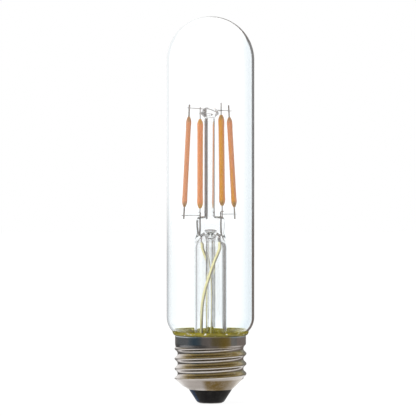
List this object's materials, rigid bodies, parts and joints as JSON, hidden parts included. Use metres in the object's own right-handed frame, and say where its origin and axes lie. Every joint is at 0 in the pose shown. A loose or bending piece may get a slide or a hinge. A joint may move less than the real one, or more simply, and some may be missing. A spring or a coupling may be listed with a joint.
{
  "type": "tubular light bulb",
  "caption": "Clear tubular lamp with a domed top: light filaments stand round a glass post on a pressed stem, above a threaded screw cap with a centre contact.",
  "frame": {"origin": "centre of the face of the centre contact, at the foot of the screw cap", "axes": "+Z along the lamp's axis from the cap to the domed top, -Y towards the front, +X to the right seen from the front"},
  "size_m": [0.0318, 0.0318, 0.1402],
  "materials": {
    "clear_glass": "clear, smooth",
    "stem_glass": "clear, smooth",
    "mount_wire": "drawn wire",
    "lead_metal": "dull copper-clad wire",
    "lead_sleeve": "pale yellow, satin",
    "plated_shell": "satin nickel plate",
    "black_insulator": "gloss black",
    "contact_metal": "plain",
    "basing_cement": "rough, olive yellow",
    "phosphor_coat": "salmon orange, satin",
    "filament_strip": "plain",
    "light_chip": "glossy",
    "filament_pin": "stamped",
    "board_green": "lacquered",
    "component_black": "matte",
    "capacitor_sleeve": "satin",
    "resistor_body": "matte",
    "driver_wire": "tinned"
  },
  "bodies": {
    "root": {"basing_cement": "basing_cement", "cap_insulator": "black_insulator", "cap_shell": "plated_shell", "centre_contact": "contact_metal", "cross_wire_1": "mount_wire", "cross_wire_2": "mount_wire", "current_regulator": "component_black", "driver_board": "board_green", "exhaust_tube": "stem_glass", "filament_1_chips": "light_chip", "filament_1_coat": "phosphor_coat", "filament_1_pins": "filament_pin", "filament_1_strip": "filament_strip", "filament_2_chips": "light_chip", "filament_2_coat": "phosphor_coat", "filament_2_pins": "filament_pin", "filament_2_strip": "filament_strip", "filament_3_chips": "light_chip", "filament_3_coat": "phosphor_coat", "filament_3_pins": "filament_pin", "filament_3_strip": "filament_strip", "filament_4_chips": "light_chip", "filament_4_coat": "phosphor_coat", "filament_4_pins": "filament_pin", "filament_4_strip": "filament_strip", "fuse_resistor": "resistor_body", "glass_envelope": "clear_glass", "glass_post": "stem_glass", "lead_sleeve_back": "lead_sleeve", "lead_sleeve_front": "lead_sleeve", "lead_wire_back": "lead_metal", "lead_wire_front": "lead_metal", "live_wire": "driver_wire", "neutral_wire": "driver_wire", "rectifier": "component_black", "smoothing_capacitor": "capacitor_sleeve", "stem": "stem_glass", "support_wire_1": "mount_wire", "support_wire_2": "mount_wire"}
  },
  "joints": []
}
